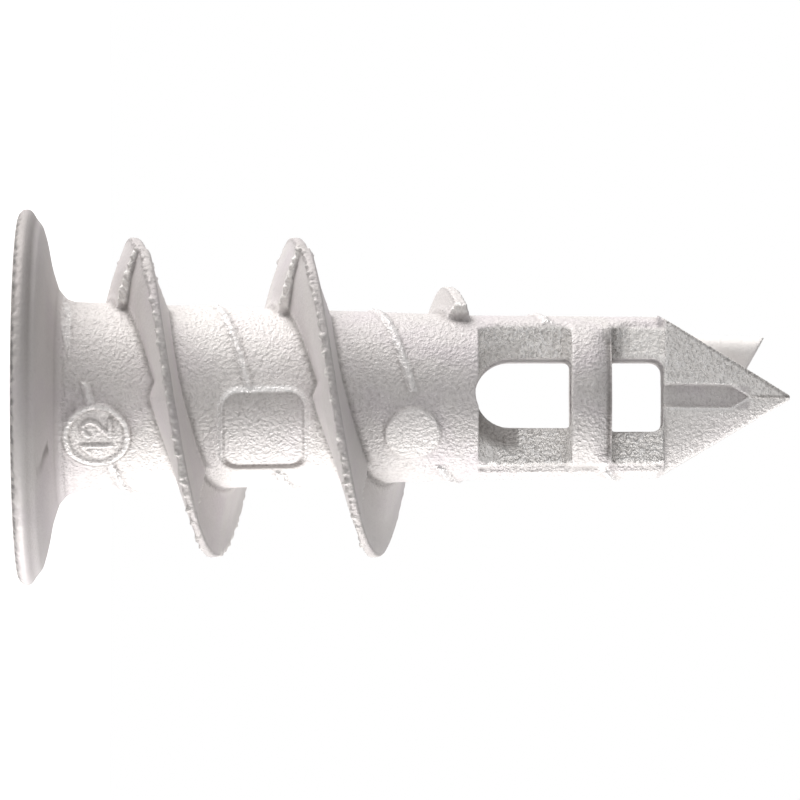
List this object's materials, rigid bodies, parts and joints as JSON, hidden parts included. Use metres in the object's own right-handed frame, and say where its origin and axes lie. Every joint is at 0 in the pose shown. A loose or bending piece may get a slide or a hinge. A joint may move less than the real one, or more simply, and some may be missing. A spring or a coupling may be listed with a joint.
{
  "type": "plasterboard plug",
  "caption": "Self-drilling cast metal plug for plasterboard: wide flat flange, coarse helical fin, windowed body and pointed drill tip.",
  "frame": {"origin": "centre of the flange's flat outer face, on which the plug stands", "axes": "+Z along the screw bore towards the drill tip; the two windows open along Y"},
  "size_m": [0.0152, 0.0152, 0.031],
  "materials": {
    "zinc": "satin, as cast, fine grain"
  },
  "bodies": {
    "root": {"plug": "zinc"}
  },
  "joints": []
}
